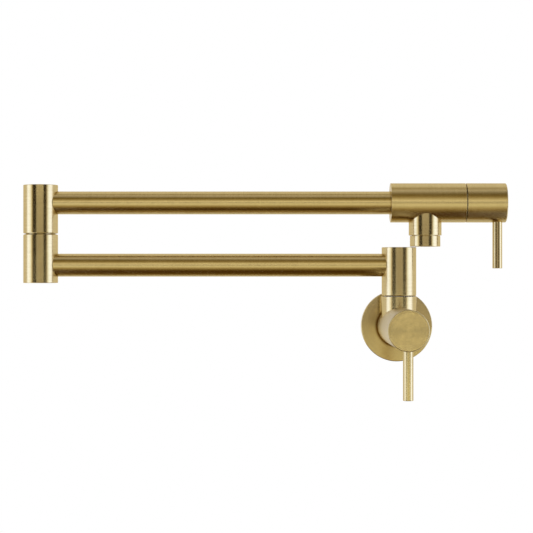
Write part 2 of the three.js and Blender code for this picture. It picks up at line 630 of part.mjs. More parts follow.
function spoutValveBody() {
  const { socket, end } = SPOUT_VALVE;
  const { radius, length, threadBore, threadDepth } = COLLAR;
  const seat = end - VALVE_END;
  const outletAt = OUTLET_X - SPOUT_LEFT_X;
  const outside = solid( turned( [
    [ 0, 0 ],
    [ VALVE_RADIUS - VALVE_BEVEL, 0 ],
    [ VALVE_RADIUS, VALVE_BEVEL ],
    [ VALVE_RADIUS, end - VALVE_BEVEL ],
    [ VALVE_RADIUS - VALVE_BEVEL, end ],
    [ 0, end ],
  ] ) );
  const collar = turned( [
    [ 0, 4 ],
    [ radius, 4 ],
    [ radius, length - 0.3 ],
    [ radius - 0.3, length ],
    [ 0, length ],
  ] );
  const bores = solid( turned( [
    [ 0, - 1 ],
    [ TUBE.radius + 0.25, - 1 ],
    [ TUBE.radius + 0.25, socket ],
    [ PASSAGE, socket ],
    [ PASSAGE, seat ],
    [ CHAMBER, seat ],
    [ CHAMBER, seat + FLANGE_STEP ],
    [ NUT_BORE, seat + FLANGE_STEP ],
    [ NUT_BORE, end + 1 ],
    [ 0, end + 1 ],
  ] ) );
  const outlet = turned( [
    [ 0, OUTLET_WAY.top ],
    [ OUTLET_WAY.radius, OUTLET_WAY.top ],
    [ OUTLET_WAY.radius, length - threadDepth ],
    [ threadBore, length - threadDepth ],
    [ threadBore, length + 1 ],
    [ 0, length + 1 ],
  ] );
  return surface( outside
    .add( solid( along( collar, LOCAL_DOWN ).translate( 0, 0, outletAt ) ) )
    .subtract( bores )
    .subtract( solid( along( outlet, LOCAL_DOWN ).translate( 0, 0, outletAt ) ) ) );
}

function addSpoutValve( parent ) {
  const backwards = new THREE.Vector3( 0, 1, 0 );
  const up = new THREE.Vector3( 0, 0, 1 );
  const place = new THREE.Vector3( SPOUT_LEFT_X, - ARM_FROM_WALL, UPPER_AXIS_Z );
  const valve = frame( parent, backwards, up, RIGHT, place );
  add( valve, 'spout_valve_body', spoutValveBody(), 'brass' );
  addCartridgeAndHandle( valve, 'spout', SPOUT_VALVE.end - VALVE_END );
}

// ---- Aerator, in a frame that stands on its lower face -----------------------------------------

function aeratorHousing() {
  const { radius, band, mouth, lip, thread, bore, top } = AERATOR;
  return turnedRing( [
    [ mouth, 0 ],
    [ radius - 0.3, 0 ],
    [ radius, 0.3 ],
    [ radius, band - 0.2 ],
    [ radius - 0.2, band ],
    [ thread, band ],
    [ thread, top ],
    [ bore, top ],
    [ bore, lip ],
    [ mouth, lip ],
  ] );
}

// A plastic core with a honeycomb of straight holes: one in the middle and two rings round it.
function aeratorInsert() {
  const { radius, bottom, top, holeRadius, pitch } = INSERT;
  let core = solid( rod( radius, bottom, top, INNER ) );
  for ( let row = - 2; row <= 2; row ++ ) {
    const count = 5 - Math.abs( row );
    for ( let i = 0; i < count; i ++ ) {
      const x = ( i - ( count - 1 ) / 2 ) * pitch;
      const y = row * pitch * Math.sqrt( 3 ) / 2;
      const hole = hexagon( holeRadius, bottom - 1, top + 1 ).translate( x, y, 0 );
      core = core.subtract( solid( hole ) );
    }
  }
  return surface( core );
}

// A flat strainer: five rows of square holes, without the four corner holes.
function aeratorScreen() {
  const { radius, bottom, top, hole, pitch } = SCREEN;
  let plate = solid( rod( radius, bottom, top, INNER ) );
  for ( let row = - 2; row <= 2; row ++ ) {
    for ( let column = - 2; column <= 2; column ++ ) {
      if ( Math.abs( row ) === 2 && Math.abs( column ) === 2 ) continue;
      const [ x, y ] = [ column * pitch, row * pitch ];
      const half = hole / 2;
      plate = plate.subtract( solid( box( x - half, x + half, y - half, y + half, bottom - 1, top + 1 ) ) );
    }
  }
  return surface( plate );
}

function addAerator( parent ) {
  const outlet = raised( parent, OUTLET_X, - ARM_FROM_WALL, AERATOR_Z );
  const { inner, outer, bottom, top } = AERATOR_WASHER;
  add( outlet, 'aerator_housing', aeratorHousing(), 'brass' );
  add( outlet, 'aerator_insert', aeratorInsert(), 'plastic' );
  add( outlet, 'aerator_screen', aeratorScreen(), 'steel' );
  add( outlet, 'aerator_washer', ring( inner, outer, bottom, top, INNER ), 'rubber' );
}

const potFiller = new THREE.Group();
addWallValve( potFiller );
addShoulder( potFiller );
addArms( potFiller );
addElbow( potFiller );
addSpoutValve( potFiller );
addAerator( potFiller );

export default potFiller;
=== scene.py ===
"""A wall mounted pot filler in satin brushed brass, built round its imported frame.

Lengths are in metres and +Z is up. The wall is the plane Y = 0, and -Y points out of it, towards the
user. Every piece that shows is a surface worked out here. The sealed inner pieces keep the frame's
own meshes and get their finishes here.
"""

import json
import math

import bmesh
import bpy
import numpy as np
from bpy.props import FloatProperty, FloatVectorProperty, PointerProperty
from bpy.types import Operator, Panel, PropertyGroup
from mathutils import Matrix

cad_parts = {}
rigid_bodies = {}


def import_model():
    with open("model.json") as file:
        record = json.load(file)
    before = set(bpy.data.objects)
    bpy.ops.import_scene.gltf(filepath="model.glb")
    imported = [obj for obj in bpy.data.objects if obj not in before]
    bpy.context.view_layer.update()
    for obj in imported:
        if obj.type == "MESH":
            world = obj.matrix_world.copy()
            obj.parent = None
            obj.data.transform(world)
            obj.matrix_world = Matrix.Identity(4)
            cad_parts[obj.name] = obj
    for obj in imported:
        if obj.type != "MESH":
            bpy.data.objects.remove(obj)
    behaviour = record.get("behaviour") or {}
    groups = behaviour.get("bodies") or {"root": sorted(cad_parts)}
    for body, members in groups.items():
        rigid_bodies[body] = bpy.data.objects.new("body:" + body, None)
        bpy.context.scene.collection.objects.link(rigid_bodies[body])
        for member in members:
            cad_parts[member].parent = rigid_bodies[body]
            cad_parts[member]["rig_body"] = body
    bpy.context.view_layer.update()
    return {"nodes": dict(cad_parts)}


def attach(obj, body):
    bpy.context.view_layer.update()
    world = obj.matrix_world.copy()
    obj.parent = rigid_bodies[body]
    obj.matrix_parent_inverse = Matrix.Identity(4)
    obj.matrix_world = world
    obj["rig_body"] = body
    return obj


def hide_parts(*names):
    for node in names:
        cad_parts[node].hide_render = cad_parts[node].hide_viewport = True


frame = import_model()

bl_info = {
    "name": "Pot filler",
    "version": (1, 0, 0),
    "blender": (4, 5, 0),
    "location": "3D View > Sidebar > Pot filler",
    "description": "Builds a wall mounted pot filler with two swivel joints and two valves",
    "category": "Add Mesh",
}

SIDES = 256  # steps round a circle
ROD_SIDES = 96  # steps round a lever
NIPPLE_SIDES = 192  # steps round the threaded inlet
ARC_STEPS = 6  # steps along a rounded edge
BAND_ROWS = 16  # steps along the window of a bore
RIM_PULL = 1.3  # above 1, the loops round a bore lie closer to its rim
GUARD = 0.00012  # loop that keeps an edge's rounding off the flat beside it
WELD = 2e-6  # points closer than this are one point
SHARP = math.radians(20)  # edges that turn by more than this stay sharp

FINE_LINES = 9.0  # brush marks to a millimetre
BROAD_LINES = 1.3  # broad marks to a millimetre
BROAD_SHARE = 0.5  # height of the broad marks against the fine ones
FEED_LINES = 28.0  # lathe marks, in radians to a millimetre
NOISE_SLOPE = 0.37  # how steep a noise texture is on average, for each unit of its scale
CLOUD_SCALE = 60.0  # faint clouds on the satin brass, in cells to a metre
TARNISH_SCALE = 90.0  # clouds on the raw brass
STEEL_GRAIN = (400, 6000, 6000)  # grains to a metre along each axis
EDGE_TINT = (0.86, 0.76, 0.55)  # colour of a glancing reflection on brass
PAINTED_SHADOW_FADE = 0.0024  # how far the painted shadow round a foot takes to fade


# ---- Sizes, colours and light that a user would change


def described(kind, name, description, default, **limits):
    """A property that can't go below 0."""
    return kind(name=name, description=description, default=default, min=0, **limits)


def length(*words):
    return described(FloatProperty, *words, unit="LENGTH", precision=5)


def colour(*words):
    return described(FloatVectorProperty, *words, size=3, max=1, subtype="COLOR")


def share(*words):
    return described(FloatProperty, *words, max=1, subtype="FACTOR")


def brightness(*words):
    return described(FloatProperty, *words)


class PotFillerSizes(PropertyGroup):
    """Sizes of the pieces that show."""

    valve_radius: length("Valve radius", "Radius of both valve bodies and both handle hubs", 0.0163)
    valve_edge: length("Valve edge", "Rounding on the ends of the valve bodies", 0.00015)
    hub_edge: length("Hub edge", "Rounding on the front of a handle hub", 0.0007)
    neck_radius: length("Neck radius", "Radius of the neck that carries the shoulder", 0.0145)
    collar_radius: length("Collar radius", "Radius of the outlet collar", 0.0136)
    sleeve_radius: length("Sleeve radius", "Radius of a swivel sleeve", 0.01435)
    sleeve_height: length("Sleeve height", "Height of a swivel sleeve", 0.0403)
    joint_edge: length("Joint edge", "Rounding where a sleeve meets its neighbour", 0.0008)
    cap_radius: length("Cap radius", "Radius of the cap in a sleeve's end", 0.01147)
    tube_radius: length("Tube radius", "Outer radius of both arm tubes", 0.0095)
    tube_wall: length("Tube wall", "Wall thickness of the arm tubes", 0.0013)
    lever_radius: length("Lever radius", "Radius of a handle lever", 0.00405)
    escutcheon_radius: length("Escutcheon radius", "Radius of the round wall plate", 0.03)
    escutcheon_depth: length("Escutcheon depth", "How far the wall plate stands out", 0.008)
    aerator_radius: length("Aerator radius", "Radius of the aerator housing", 0.0126)
    thread_pitch: length("Thread pitch", "Pitch of the inlet's pipe thread", 0.001814)
    thread_depth: length("Thread depth", "Depth of the inlet's pipe thread", 0.00105)


class PotFillerFinishes(PropertyGroup):
    """Colours and the grain of the finishes."""

    brass: colour("Satin brass", "Brushed brass of every piece that shows", (0.57, 0.447, 0.217))
    brass_shade: colour("Satin brass shade", "Darker brass between the brush marks", (0.5, 0.387, 0.182))
    # Painted shadow: a brown ring painted on the wall plate round the valve's foot, where shade falls between
    # plate and body.
    brass_seam: colour("Seam", "Brown of the wall plate right round the valve's foot", (0.15, 0.07, 0.005))
    raw_brass: colour("Raw brass", "Turned brass of the inner pieces", (0.5, 0.38, 0.14))
    steel: colour("Stainless steel", "Clips, screen and set screws", (0.49, 0.49, 0.5))
    ceramic: colour("Ceramic", "Cartridge discs", (0.79, 0.76, 0.71))
    rubber: colour("Rubber", "Seals", (0.02, 0.02, 0.02))
    foam: colour("Foam", "Gasket behind the escutcheon", (0.03, 0.03, 0.035))
    nylon: colour("Nylon", "Slip washer", (0.76, 0.74, 0.68))
    clear_plastic: colour("Plastic", "Core of the aerator", (0.68, 0.7, 0.71))
    satin_roughness: share("Satin roughness", "Roughness of the brushed brass", 0.16)
    lacquer: share("Lacquer", "Weight of the thin lacquer on the brushed brass", 0.08)


class PotFillerStage(PropertyGroup):
    """The floor and the light."""

    floor_colour: colour("Floor", "Colour of the floor", (0.86, 0.86, 0.86))
    floor_height: FloatProperty(
        name="Floor height", description="Height of the floor", default=-0.32, unit="LENGTH"
    )
    fill: brightness("Fill", "Strength of the light from all round", 0.55)
    left_light: brightness("Left", "Brightness of the left soft box", 2.3)
    right_light: brightness("Right", "Brightness of the right soft box", 3.0)
    top_light: brightness("Top", "Brightness of the top soft box", 1.1)


# ---- Where the pieces stand


class Place:
    """A corner of space with its own axes. Local points are moved by: origin + x X + y Y + z Z."""

    def __init__(self, origin, x, y, z):
        self.origin = np.array(origin, float)
        self.axes = np.array([x, y, z], float)

    def world(self, points):
        return self.origin + points @ self.axes


RIGHT, BACK, UP = (1, 0, 0), (0, 1, 0), (0, 0, 1)
FRONT, DOWN = (0, -1, 0), (0, 0, -1)

ARM_Y = -0.03
ELBOW_X = -0.2976
LOWER_Z = 0.05125
UPPER_Z = 0.10295
OUTLET_X = 0.02175
SPOUT_LEFT = -0.0071
AERATOR_Z = 0.06665

WALL_VALVE = Place((0, 0, 0), RIGHT, UP, FRONT)
SPOUT_VALVE = Place((SPOUT_LEFT, ARM_Y, UPPER_Z), BACK, UP, RIGHT)
SHOULDER = Place((0, ARM_Y, 0.02575), RIGHT, BACK, UP)
ELBOW_UPPER = Place((ELBOW_X, ARM_Y, 0.07745), RIGHT, BACK, UP)
ELBOW_LOWER = Place((ELBOW_X, ARM_Y, 0.07675), RIGHT, FRONT, DOWN)
OUTLET = Place((OUTLET_X, ARM_Y, AERATOR_Z), RIGHT, BACK, UP)
LOWER_TUBE = Place((0, ARM_Y, LOWER_Z), BACK, UP, RIGHT)
UPPER_TUBE = Place((0, ARM_Y, UPPER_Z), BACK, UP, RIGHT)

WALL_END = 0.0902  # the open end of the wall valve's body, along its axis
SPOUT_END = 0.0619  # the same for the spout valve
VALVES = {"wall": (WALL_VALVE, WALL_END), "spout": (SPOUT_VALVE, SPOUT_END)}
HUB_GAP = 0.0008
HUB_LENGTH = 0.033
LEVER_FROM_FRONT = 0.0069
SCREW_FROM_FRONT = 0.015
LEVER_AT = HUB_GAP + HUB_LENGTH - LEVER_FROM_FRONT  # a lever's axis, from its valve's open end
# The marks on a hub's side, and on its front if they differ.
HUB_MARKS = {"wall": ("wall_side", "wall_valve"), "spout": ("upper_line",)}

# Radii inside both valve bodies.
WATERWAY = 0.0042
CARTRIDGE_BORE = 0.0097
NUT_BORE = 0.01075

FIT = 0.00012  # room round a tube in its socket
TUBE_HEIGHT = 0.0255  # a tube's axis above the foot of its sleeve
SLEEVE_HOLLOW = 0.0116  # radius inside a sleeve, round its tube's end
SLEEVE_LEDGE = 0.0148  # where that hollow begins
SPINDLE_BORE = 0.0093
TUBE_IN_SLEEVE = 0.0108  # how far from a sleeve's axis its tube ends
SMALL_EDGE = 0.0002  # rounding of an edge that hardly shows

# Each sleeve and its cap: their place, the spindle's bore, the tube's side in quarter turns, and the marks.
SLEEVES = (
    ("shoulder_sleeve", "shoulder_cap", SHOULDER, 0.009, 2, "shoulder"),
    ("elbow_upper_sleeve", "elbow_top_cap", ELBOW_UPPER, 0.009, 0, "elbow"),
    ("elbow_lower_sleeve", "elbow_bottom_cap", ELBOW_LOWER, SPINDLE_BORE, 0, "elbow"),
)


# ---- Surfaces


def unit(v):
    return v / np.linalg.norm(v)


def outline(*corners):
    """An outline of (radius, height) points through the corners (radius, height, rounding). A corner that
    has a rounding r becomes an arc that touches both of its sides: its centre lies r / sin(half angle)
    from the corner along the halving line, and its points turn evenly between the two touching points.
    One more point is set a little beyond each end of the arc."""
    points = [np.array(c[:2], float) for c in corners]
    found = []
    for i, corner in enumerate(corners):
        here = points[i]
        r = corner[2] if len(corner) > 2 else 0
        if not r:
            found.append(here[None])
            continue
        a, b = unit(points[i - 1] - here), unit(points[(i + 1) % len(points)] - here)
        half = math.acos(float(np.clip(a @ b, -1, 1))) / 2
        reach = r / math.tan(half)
        centre = here + unit(a + b) * r / math.sin(half)
        start, end = here + a * reach - centre, here + b * reach - centre
        turn = math.pi - 2 * half
        t = np.linspace(0, 1, ARC_STEPS + 1)[:, None]
        arc = centre + (np.sin((1 - t) * turn) * start + np.sin(t * turn) * end) / math.sin(turn)
        found += [here[None] + a * (reach + GUARD), arc, here[None] + b * (reach + GUARD)]
    return np.concatenate(found)


def cylindrical(r, t, h):
    """The points (r cos t, r sin t, h)."""
    return np.stack(np.broadcast_arrays(r * np.cos(t), r * np.sin(t), h), -1)


def lathe(points, sides=SIDES):
    """Carries an outline round the axis: (radius, height) goes to (radius cos t, radius sin t, height), with
    t from 0 to a full turn."""
    return cylindrical(points[:, :1], np.linspace(0, math.tau, sides + 1), points[:, 1:])


def ring(*corners):
    """A closed outline through the corners, carried round the axis."""
    points = outline(*corners)
    return lathe(np.concatenate([points, points[:1]]))


class Bore:
    """A round hole or branch across a cylinder. It leaves the axis at the side given by quarter, a count
    of quarter turns from local X, at a height along the axis. reach is half its window, in steps round
    the cylinder."""

    def __init__(self, radius, height, quarter, reach):
        self.radius, self.height, self.reach = radius, height, reach
        self.start = quarter * math.pi / 2
        self.turn = None

    def border(self, low, high):
        """The window's border as (angle, height) offsets, once round from its lower right corner."""
        side = np.linspace(low, high, BAND_ROWS + 1)
        across = np.linspace(-self.reach, self.reach, 2 * self.reach + 1) * math.tau / SIDES
        right = np.stack([np.full(BAND_ROWS, across[-1]), side[:-1]], -1)
        top = np.stack([across[:0:-1], np.full(2 * self.reach, high)], -1)
        left = np.stack([np.full(BAND_ROWS, across[0]), side[:0:-1]], -1)
        bottom = np.stack([across[:-1], np.full(2 * self.reach, low)], -1)
        return np.concatenate([right, top, left, bottom, right[:1]])

    def band(self, radius, low, high, steps=14):
        """A cylinder's band with the hole in it, as two patches. Round the hole, each point lies on the
        straight way, in angle and height, from the hole's rim to the window's border. The rest is a plain
        grid. The rim's angle is asin(hole radius cos t / radius) and its height is hole radius sin t above
        the middle."""
        border = self.border(low, high)
        if self.turn is None:
            self.turn = np.arctan2(border[:, 1] - self.height, radius * border[:, 0])
        angle = np.arcsin(self.radius * np.cos(self.turn) / radius)
        rim = np.stack([angle, self.height + self.radius * np.sin(self.turn)], -1)
        t = np.linspace(0, 1, steps + 1)[:, None, None] ** RIM_PULL
        window = rim + (border - rim) * t
        half = self.reach * math.tau / SIDES
        angles = np.linspace(half, math.tau - half, SIDES - 2 * self.reach + 1)
        heights = np.linspace(low, high, BAND_ROWS + 1)
        rest = np.stack(np.broadcast_arrays(angles[None], heights[:, None]), -1)
        return [self.rolled(radius, patch) for patch in (window, rest)]

    def rolled(self, radius, flat):
        """Rolls flat (angle, height) points onto the cylinder."""
        return cylindrical(radius, flat[..., 0] + self.start, flat[..., 1])

    def wall(self, *rings):
        """Carries rings along the bore's own axis. A ring (radius, distance) is flat. A ring (radius,
        cylinder radius, True) lies on a cylinder round the main axis: its distance is
        sqrt(cylinder radius squared - (ring radius cos t) squared)."""
        c, s = math.cos(self.start), math.sin(self.start)
        rows = []
        for r, distance, *curved in rings:
            across = r * np.cos(self.turn)
            out = np.sqrt(distance**2 - across**2) if curved else np.full_like(across, distance)
            height = self.height + r * np.sin(self.turn)
            rows.append(np.stack([out * c - across * s, out * s + across * c, height], -1))
        return np.stack(rows)


def helix(points, pitch, depth, fade, sides):
    """A turned outline with a screw thread: the radius at angle t and height h is the outline's radius less
    depth times a wave of h / pitch - t / full turn. The wave fades out towards both ends, and flank and
    crest are how steep its sides are and how much is cut off its tops."""
    flank, crest = 2.6, 0.15
    t = np.linspace(0, math.tau, sides + 1)
    r, h = points[:, :1], points[:, 1:]
    phase = (h / pitch - t / math.tau) % 1
    wave = np.clip(np.abs(phase - 0.5) * flank - crest, 0, 1)
    ends = np.clip(np.minimum(h - h.min(), h.max() - h) / fade, 0, 1)
    return cylindrical(r - depth * wave * ends, t, h)


def hexagon(flat, height, sides):
    """A six-sided ring: its radius at angle t is half the flats' distance over cos of the angle from the
    nearest flat's middle."""
    t = np.linspace(0, math.tau, sides + 1)
    off = (t + math.pi / 6) % (math.pi / 3) - math.pi / 6
    return cylindrical(flat / 2 / np.cos(off), t, height)


def bored_body(sizes, socket, seats, end, branch, low, high):
    """The turned patches of a valve's body: a socket in its rear, the waterway, the bores for the cartridge
    and its nut, and the band from low to high with the branch's hole. The socket is (radius, bottom, rear
    end, rounding), and the seats are where the cartridge's bore and the nut's begin."""
    radius, edge = sizes.valve_radius, sizes.valve_edge
    wide, bottom, rear, rounding = socket
    cartridge, nut = seats
    hole = (WATERWAY, bottom), (wide, bottom), (wide, rear, rounding)
    rear_end = outline(*hole, (radius, rear, edge), (radius, low))
    mouth = (NUT_BORE, end, SMALL_EDGE), (NUT_BORE, nut), (CARTRIDGE_BORE, nut)
    seat = (CARTRIDGE_BORE, cartridge), (WATERWAY, cartridge)
    front_end = outline((radius, high), (radius, end, edge), *mouth, *seat)
    way = np.array([(WATERWAY, cartridge), (WATERWAY, bottom)])
    return [lathe(rear_end), *branch.band(radius, low, high), lathe(front_end), lathe(way)]


def quads(rows, columns, first=0):
    """The faces of a grid of points, whose numbers run along its rows from the given first one."""
    index = first + np.arange(rows * columns).reshape(rows, columns)
    return np.stack([index[:-1, :-1], index[:-1, 1:], index[1:, 1:], index[1:, :-1]], -1).reshape(-1, 4)


def placed(name, data):
    """A new object of that name in the scene."""
    made = bpy.data.objects.new(name, data)
    bpy.context.scene.collection.objects.link(made)
    return made


def piece(node, patches, place, materials):
    """Makes one closed piece from patches and lets it stand for its frame node. A patch is a grid of local
    points, or such a grid and the number of its material."""
    corners, faces, numbers, first = [], [], [], 0
    for patch in patches:
        grid, number = patch if isinstance(patch, tuple) else (patch, 0)
        corners.append(place.world(grid.reshape(-1, 3)))
        faces.append(quads(*grid.shape[:2], first))
        numbers.append(np.full(len(faces[-1]), number))
        first += len(corners[-1])
    name = node + "_surface"
    mesh = bpy.data.meshes.new(name)
    mesh.from_pydata(np.concatenate(corners), [], np.concatenate(faces))
    mesh.polygons.foreach_set("material_index", np.concatenate(numbers).astype(np.int32))
    work = bmesh.new()
    work.from_mesh(mesh)
    bmesh.ops.remove_doubles(work, verts=work.verts, dist=WELD)
    bmesh.ops.dissolve_degenerate(work, edges=work.edges, dist=WELD / 4)
    bmesh.ops.recalc_face_normals(work, faces=work.faces)
    if any(not edge.is_manifold for edge in work.edges):
        work.free()
        raise RuntimeError(f"{name} isn't closed")
    work.to_mesh(mesh)
    work.free()
    mesh.shade_smooth()
    mesh.set_sharp_from_angle(angle=SHARP)
    for finish in materials:
        mesh.materials.append(finish)
    made = placed(name, mesh)
    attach(made, frame["nodes"][node]["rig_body"])
    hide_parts(node)
    return made


# ---- Finishes


def arithmetic(operation, reflected=False):
    """A method that adds a Math node for an expression on a socket."""

    def method(self, other):
        a, b = (other, self) if reflected else (self, other)
        return self.nodes.math(operation, a, b)

    return method


class Value:
    """A shader socket. A sum, product or other expression on it adds a Math node."""

    def __init__(self, nodes, socket):
        self.nodes, self.socket = nodes, socket

    __add__, __radd__ = arithmetic("ADD"), arithmetic("ADD", True)
    __sub__, __rsub__ = arithmetic("SUBTRACT"), arithmetic("SUBTRACT", True)
    __mul__, __rmul__ = arithmetic("MULTIPLY"), arithmetic("MULTIPLY", True)
    __truediv__, __rtruediv__ = arithmetic("DIVIDE"), arithmetic("DIVIDE", True)


class Nodes:
    """The node tree of one material or world, emptied."""

    def __init__(self, owner):
        owner.use_nodes = True
        self.owner, self.tree = owner, owner.node_tree
        self.tree.nodes.clear()

    def add(self, kind, inputs=None, output=0, **settings):
        """Adds a node: its settings first, then its sockets by name or number. Returns one of its outputs."""
        node = self.tree.nodes.new(kind)
        for key, value in settings.items():
            setattr(node, key, value)
        for key, value in (inputs or {}).items():
            if isinstance(value, Value):
                self.tree.links.new(value.socket, node.inputs[key])
            else:
                node.inputs[key].default_value = value
        return Value(self, node.outputs[output]) if len(node.outputs) else None

    def math(self, operation, a, b=0.0):
        return self.add("ShaderNodeMath", {0: a, 1: b}, operation=operation)

    def vector(self, operation, a, b=(0, 0, 0), output=0):
        return self.add("ShaderNodeVectorMath", {0: a, 1: b}, output, operation=operation)

    def scaled(self, a, factor):
        return self.add("ShaderNodeVectorMath", {0: a, "Scale": factor}, operation="SCALE")

    def mix(self, factor, a, b):
        """A colour between two others."""
        a, b = (c if isinstance(c, Value) else (*c, 1) for c in (a, b))
        return self.add("ShaderNodeMix", {0: factor, 6: a, 7: b}, 2, data_type="RGBA", clamp_factor=True)

    def noise(self, vector, scale, detail=2.0):
        return self.add("ShaderNodeTexNoise", {"Vector": vector, "Scale": scale, "Detail": detail})

    def ramp(self, value, low, high, **settings):
        """How far the value has come from low to high."""
        return self.add("ShaderNodeMapRange", {"Value": value, 1: low, 2: high}, **settings)

    def place(self):
        """The point in the object's own coordinates."""
        return self.add("ShaderNodeTexCoord", output="Object")

    def bump(self, height, distance):
        return self.add("ShaderNodeBump", {"Height": height, "Distance": distance})

    def close(self, shader, kind="Material"):
        """Leads the shader to the output and returns what it is for."""
        self.add("ShaderNodeOutput" + kind, {"Surface": shader})
        return self.owner

    def surface(self, **sockets):
        """A principled surface. Its sockets are named with underscores for spaces."""
        inputs = {key.replace("_", " "): value for key, value in sockets.items()}
        return self.close(self.add("ShaderNodeBsdfPrincipled", inputs))


def material(name):
    return Nodes(bpy.data.materials.new(name))


def shade(colour, factor):
    """A lighter or darker shade of a colour."""
    return tuple(min(1, c * factor) for c in colour)


def round_marks(nodes, centre, axis):
    """Coordinates for marks that run round an axis. The first turns with the point. The second counts
    millimetres along the surface: the height along the axis, plus the radius times how far the surface
    faces along the axis, so that the marks are rings on a side and on an end face alike. The third is
    the radius."""
    point = nodes.vector("SUBTRACT", nodes.place(), centre)
    height = nodes.vector("DOT_PRODUCT", point, axis, "Value")
    spread = nodes.vector("SUBTRACT", point, nodes.scaled(axis, height))
    radius = nodes.vector("LENGTH", spread, output="Value")
    normal = nodes.add("ShaderNodeTexCoord", output="Normal")
    facing = nodes.math("ABSOLUTE", nodes.vector("DOT_PRODUCT", normal, axis, "Value"))
    return nodes.vector("NORMALIZE", spread), (height + radius * facing) * 1000, radius


def ring_noise(nodes, around, along, axis, turns, lines):
    """Streaks round the axis: noise at (around x turns) + (axis x along x lines)."""
    where = nodes.vector("ADD", nodes.scaled(around, turns), nodes.scaled(axis, along * lines))
    return nodes.noise(where, 1.0)


def brushed_brass(finishes, name, centre, axis, tilt, gloss=1.0, edge=EDGE_TINT, seam=None):
    """Satin brass, brushed round the axis. The fine marks tilt the surface by about tilt, as a slope, so that
    light spreads across them. Broader marks and faint clouds vary the colour and the roughness, which is
    divided by gloss. Edge is the tint of a glancing reflection. The last argument is the radius of a
    neighbour's foot, round which a brown shadow is painted on the brass."""
    nodes = material("satin_brass_" + name)
    around, along, radius = round_marks(nodes, centre, axis)
    fine = ring_noise(nodes, around, along, axis, 1.4, FINE_LINES)
    broad = ring_noise(nodes, around, along, axis, 1.0, BROAD_LINES)
    cloud = nodes.noise(nodes.place(), CLOUD_SCALE, 3.0)
    tone = (fine * 0.5 + broad * 0.5) * 0.75 + cloud * 0.25
    brass = nodes.mix(nodes.ramp(tone, 0.38, 0.6), finishes.brass_shade, finishes.brass)
    # Painted shadow: brown painted on the brass close round a neighbour's foot, fading out a little way off.
    if seam:
        clear = nodes.ramp(radius, seam, seam + PAINTED_SHADOW_FADE, interpolation_type="SMOOTHSTEP")
        brass = nodes.mix(clear, finishes.brass_seam, brass)
    return nodes.surface(
        Base_Color=brass,
        Metallic=1.0,
        Roughness=((cloud - 0.5) * 0.04 + finishes.satin_roughness) / gloss,
        Specular_Tint=(*edge, 1.0),
        Coat_Weight=finishes.lacquer,
        Coat_Roughness=0.12,
        Normal=nodes.bump(fine + broad * BROAD_SHARE, tilt / NOISE_SLOPE / FINE_LINES / 1000),
    )


def turned_brass(finishes, name, centre, axis):
    """Raw brass as it comes off the lathe: even feed marks round the axis and a light tarnish."""
    nodes = material("raw_brass_" + name)
    around, along, _ = round_marks(nodes, centre, axis)
    feed = nodes.math("SINE", along * FEED_LINES)
    streaks = ring_noise(nodes, around, along, axis, 2.0, 2.5)
    tarnish = nodes.noise(nodes.place(), TARNISH_SCALE, 4.0)
    return nodes.surface(
        Base_Color=nodes.mix(tarnish * 1.6 - 0.45, finishes.raw_brass, shade(finishes.raw_brass, 0.55)),
        Metallic=1.0,
        Roughness=tarnish * 0.3 + streaks * 0.1 + 0.2,
        Normal=nodes.bump(feed * 0.25 + streaks, 0.00002),
    )


def steel(finishes):
    """Stainless steel with fine straight grain."""
    nodes = material("stainless_steel")
    grain = nodes.noise(nodes.vector("MULTIPLY", nodes.place(), STEEL_GRAIN), 1.0)
    cloud = nodes.noise(nodes.place(), 300.0)
    return nodes.surface(
        Base_Color=nodes.mix(grain, finishes.steel, shade(finishes.steel, 1.25)),
        Metallic=1.0,
        Roughness=grain * 0.12 + cloud * 0.12 + 0.18,
        Normal=nodes.bump(grain, 0.000006),
    )


def speckled(finishes, slot, spread, scale, roughness, depth, cells=False):
    """A body-coloured finish with a fine texture of grain or cells, as deep as depth. Its shade varies by
    the spread."""
    base = getattr(finishes, slot)
    nodes = material(slot)
    where = nodes.place()
    cloud = nodes.noise(where, scale / 6, 3.0)
    if cells:
        grain = nodes.add("ShaderNodeTexVoronoi", {"Vector": where, "Scale": scale})
    else:
        grain = nodes.noise(where, scale, 3.0)
    return nodes.surface(
        Base_Color=nodes.mix(cloud * 0.6 + grain * 0.4, base, shade(base, 1 + spread)),
        Roughness=grain * 0.1 + cloud * 0.1 + roughness,
        Normal=nodes.bump(grain, depth),
    )


def remember(name, make, *values):
    """A finish by name, made the first time it is asked for."""
    return bpy.data.materials.get(name) or make(bpy.context.scene.pot_filler_finishes, *values)


# Where the marks run: a point on the axis, the axis, and how far the marks tilt the surface. Then, where
# they aren't the usual ones, the gloss, the edge's tint and the radius round which a brown shadow is painted.
BRUSH_AXES = {
    # The escutcheon's last number is where its painted shadow round the valve's foot begins.
    "escutcheon": ((0, 0, 0), BACK, 0.03, 1.3, EDGE_TINT, 0.0168),
    "wall_valve": ((0, 0, 0), BACK, 0.17),
    "wall_side": ((0, 0, 0), BACK, 0.3, 0.44, (1, 1, 1)),
    "shoulder": ((0, ARM_Y, 0), UP, 0.03),
    "elbow": ((ELBOW_X, ARM_Y, 0), UP, 0.03),
    "outlet": ((OUTLET_X, ARM_Y, 0), UP, 0.03),
    "upper_line": ((0, ARM_Y, UPPER_Z), RIGHT, 0.05, 0.65),
    "lower_line": ((0, ARM_Y, LOWER_Z), RIGHT, 0.05, 0.65),
    "wall_lever": ((0, -WALL_END - LEVER_AT, 0), UP, 0.03),
    "spout_lever": ((SPOUT_LEFT + SPOUT_END + LEVER_AT, ARM_Y, 0), UP, 0.04, 1.6),
}


def satin(where):
    """The brushed brass whose marks follow the named axis."""
    return remember("satin_brass_" + where, brushed_brass, where, *BRUSH_AXES[where])


def raw(where):
    """The turned brass whose marks run round the named axis."""
    return remember("raw_brass_" + where, turned_brass, where, *BRUSH_AXES[where][:2])


